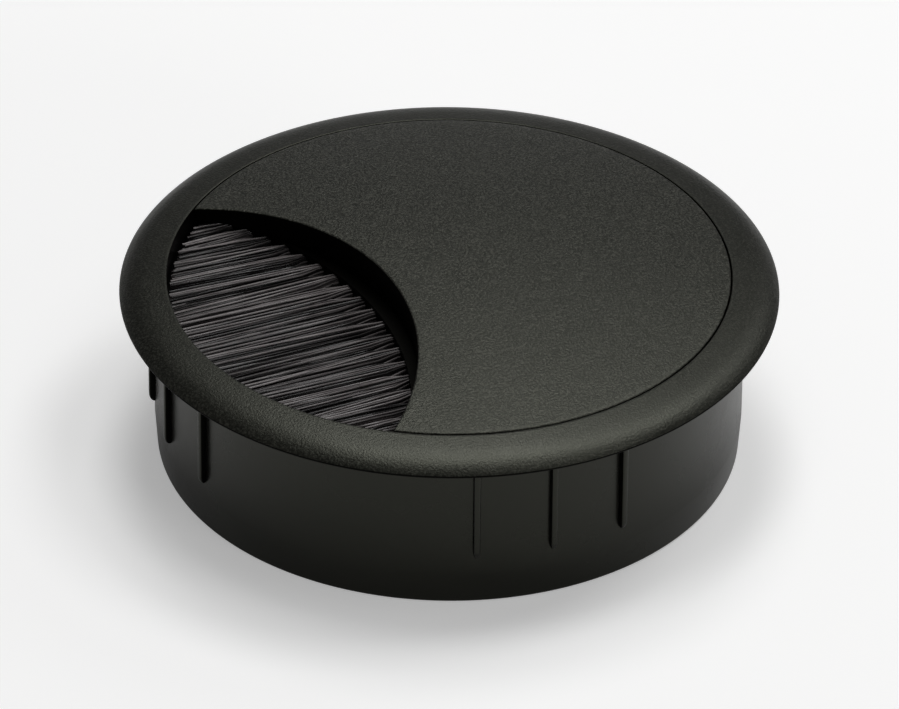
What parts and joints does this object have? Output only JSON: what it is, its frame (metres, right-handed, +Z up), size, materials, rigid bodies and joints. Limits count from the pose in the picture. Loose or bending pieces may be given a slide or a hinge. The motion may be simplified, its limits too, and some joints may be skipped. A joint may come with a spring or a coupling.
{
  "type": "desk grommet",
  "caption": "Round desk cable grommet: flanged sleeve with crush ribs, turning brush insert, and a crowned lift-off cover with a lens-shaped cable opening.",
  "frame": {"origin": "centre of the sleeve's axis at the collar's bottom edge", "axes": "+Z up along the sleeve's axis, out through the cover; the cable opening faces -X at rest"},
  "size_m": [0.088, 0.088, 0.0287],
  "materials": {
    "grained_plastic": "black moulded plastic, fine spark-eroded grain",
    "smooth_plastic": "black moulded plastic, smooth satin",
    "bristle": "dark grey nylon filament",
    "staple_wire": "plated flat wire"
  },
  "bodies": {
    "sleeve": {"flanged_sleeve": "grained_plastic"},
    "brush_carrier": {"brush_carrier": "smooth_plastic", "tuft_staple_01": "staple_wire", "tuft_staple_02": "staple_wire", "tuft_staple_03": "staple_wire", "tuft_staple_04": "staple_wire", "tuft_staple_05": "staple_wire", "tuft_staple_06": "staple_wire", "tuft_staple_07": "staple_wire", "tuft_staple_08": "staple_wire", "tuft_staple_09": "staple_wire", "tuft_staple_10": "staple_wire", "tuft_staple_11": "staple_wire", "tuft_staple_12": "staple_wire", "tuft_staple_13": "staple_wire", "tuft_staple_14": "staple_wire", "tuft_staple_15": "staple_wire", "tuft_staple_16": "staple_wire", "tuft_staple_17": "staple_wire", "tuft_staple_18": "staple_wire", "tuft_staple_19": "staple_wire"},
    "cover": {"cover_plate": "grained_plastic"},
    "tuft_01": {"bristle_tuft_01": "bristle"},
    "tuft_02": {"bristle_tuft_02": "bristle"},
    "tuft_03": {"bristle_tuft_03": "bristle"},
    "tuft_04": {"bristle_tuft_04": "bristle"},
    "tuft_05": {"bristle_tuft_05": "bristle"},
    "tuft_06": {"bristle_tuft_06": "bristle"},
    "tuft_07": {"bristle_tuft_07": "bristle"},
    "tuft_08": {"bristle_tuft_08": "bristle"},
    "tuft_09": {"bristle_tuft_09": "bristle"},
    "tuft_10": {"bristle_tuft_10": "bristle"},
    "tuft_11": {"bristle_tuft_11": "bristle"},
    "tuft_12": {"bristle_tuft_12": "bristle"},
    "tuft_13": {"bristle_tuft_13": "bristle"},
    "tuft_14": {"bristle_tuft_14": "bristle"},
    "tuft_15": {"bristle_tuft_15": "bristle"},
    "tuft_16": {"bristle_tuft_16": "bristle"},
    "tuft_17": {"bristle_tuft_17": "bristle"},
    "tuft_18": {"bristle_tuft_18": "bristle"},
    "tuft_19": {"bristle_tuft_19": "bristle"}
  },
  "joints": [
    {"name": "insert_spin", "type": "hinge", "parent": "sleeve", "child": "brush_carrier", "pos_m": [0, 0, 0.0093], "axis": [0, 0, 1], "continuous": true},
    {"name": "cover_lift", "type": "slide", "parent": "brush_carrier", "child": "cover", "axis": [0, 0, 1], "range_m": [0, 0.03]},
    {"name": "tuft_01_bend", "type": "hinge", "parent": "brush_carrier", "child": "tuft_01", "pos_m": [-0.02272, -0.02717, 0.0223], "axis": [0.0732, 0.9973, 0], "range_deg": [-45, 45], "stiffness_Nm_per_rad": 0.012},
    {"name": "tuft_02_bend", "type": "hinge", "parent": "brush_carrier", "child": "tuft_02", "pos_m": [-0.02081, -0.02446, 0.0223], "axis": [0.0732, 0.9973, 0], "range_deg": [-45, 45], "stiffness_Nm_per_rad": 0.0046},
    {"name": "tuft_03_bend", "type": "hinge", "parent": "brush_carrier", "child": "tuft_03", "pos_m": [-0.0191, -0.02164, 0.0223], "axis": [0.0732, 0.9973, 0], "range_deg": [-45, 45], "stiffness_Nm_per_rad": 0.003},
    {"name": "tuft_04_bend", "type": "hinge", "parent": "brush_carrier", "child": "tuft_04", "pos_m": [-0.01758, -0.01872, 0.0223], "axis": [0.0732, 0.9973, 0], "range_deg": [-45, 45], "stiffness_Nm_per_rad": 0.0023},
    {"name": "tuft_05_bend", "type": "hinge", "parent": "brush_carrier", "child": "tuft_05", "pos_m": [-0.01627, -0.01571, 0.0223], "axis": [0.0732, 0.9973, 0], "range_deg": [-45, 45], "stiffness_Nm_per_rad": 0.002},
    {"name": "tuft_06_bend", "type": "hinge", "parent": "brush_carrier", "child": "tuft_06", "pos_m": [-0.01517, -0.01262, 0.0223], "axis": [0.0732, 0.9973, 0], "range_deg": [-45, 45], "stiffness_Nm_per_rad": 0.0018},
    {"name": "tuft_07_bend", "type": "hinge", "parent": "brush_carrier", "child": "tuft_07", "pos_m": [-0.01428, -0.00948, 0.0223], "axis": [0.0732, 0.9973, 0], "range_deg": [-45, 45], "stiffness_Nm_per_rad": 0.0016},
    {"name": "tuft_08_bend", "type": "hinge", "parent": "brush_carrier", "child": "tuft_08", "pos_m": [-0.01361, -0.00629, 0.0223], "axis": [0.0732, 0.9973, 0], "range_deg": [-45, 45], "stiffness_Nm_per_rad": 0.0015},
    {"name": "tuft_09_bend", "type": "hinge", "parent": "brush_carrier", "child": "tuft_09", "pos_m": [-0.01315, -0.00306, 0.0223], "axis": [0.0732, 0.9973, 0], "range_deg": [-45, 45], "stiffness_Nm_per_rad": 0.0015},
    {"name": "tuft_10_bend", "type": "hinge", "parent": "brush_carrier", "child": "tuft_10", "pos_m": [-0.01291, 0.00018, 0.0223], "axis": [0.0732, 0.9973, 0], "range_deg": [-45, 45], "stiffness_Nm_per_rad": 0.0015},
    {"name": "tuft_11_bend", "type": "hinge", "parent": "brush_carrier", "child": "tuft_11", "pos_m": [-0.01306, 0.00343, 0.0223], "axis": [0.0732, 0.9973, 0], "range_deg": [-45, 45], "stiffness_Nm_per_rad": 0.0015},
    {"name": "tuft_12_bend", "type": "hinge", "parent": "brush_carrier", "child": "tuft_12", "pos_m": [-0.01343, 0.00666, 0.0223], "axis": [0.0732, 0.9973, 0], "range_deg": [-45, 45], "stiffness_Nm_per_rad": 0.0016},
    {"name": "tuft_13_bend", "type": "hinge", "parent": "brush_carrier", "child": "tuft_13", "pos_m": [-0.01401, 0.00987, 0.0223], "axis": [0.0732, 0.9973, 0], "range_deg": [-45, 45], "stiffness_Nm_per_rad": 0.0017},
    {"name": "tuft_14_bend", "type": "hinge", "parent": "brush_carrier", "child": "tuft_14", "pos_m": [-0.01481, 0.01304, 0.0223], "axis": [0.0732, 0.9973, 0], "range_deg": [-45, 45], "stiffness_Nm_per_rad": 0.0018},
    {"name": "tuft_15_bend", "type": "hinge", "parent": "brush_carrier", "child": "tuft_15", "pos_m": [-0.01583, 0.01616, 0.0223], "axis": [0.0732, 0.9973, 0], "range_deg": [-45, 45], "stiffness_Nm_per_rad": 0.0021},
    {"name": "tuft_16_bend", "type": "hinge", "parent": "brush_carrier", "child": "tuft_16", "pos_m": [-0.01705, 0.0192, 0.0223], "axis": [0.0732, 0.9973, 0], "range_deg": [-45, 45], "stiffness_Nm_per_rad": 0.0025},
    {"name": "tuft_17_bend", "type": "hinge", "parent": "brush_carrier", "child": "tuft_17", "pos_m": [-0.01848, 0.02217, 0.0223], "axis": [0.0732, 0.9973, 0], "range_deg": [-45, 45], "stiffness_Nm_per_rad": 0.0033},
    {"name": "tuft_18_bend", "type": "hinge", "parent": "brush_carrier", "child": "tuft_18", "pos_m": [-0.02012, 0.02503, 0.0223], "axis": [0.0732, 0.9973, 0], "range_deg": [-45, 45], "stiffness_Nm_per_rad": 0.0051},
    {"name": "tuft_19_bend", "type": "hinge", "parent": "brush_carrier", "child": "tuft_19", "pos_m": [-0.02195, 0.02779, 0.0223], "axis": [0.0732, 0.9973, 0], "range_deg": [-45, 20], "stiffness_Nm_per_rad": 0.013}
  ]
}
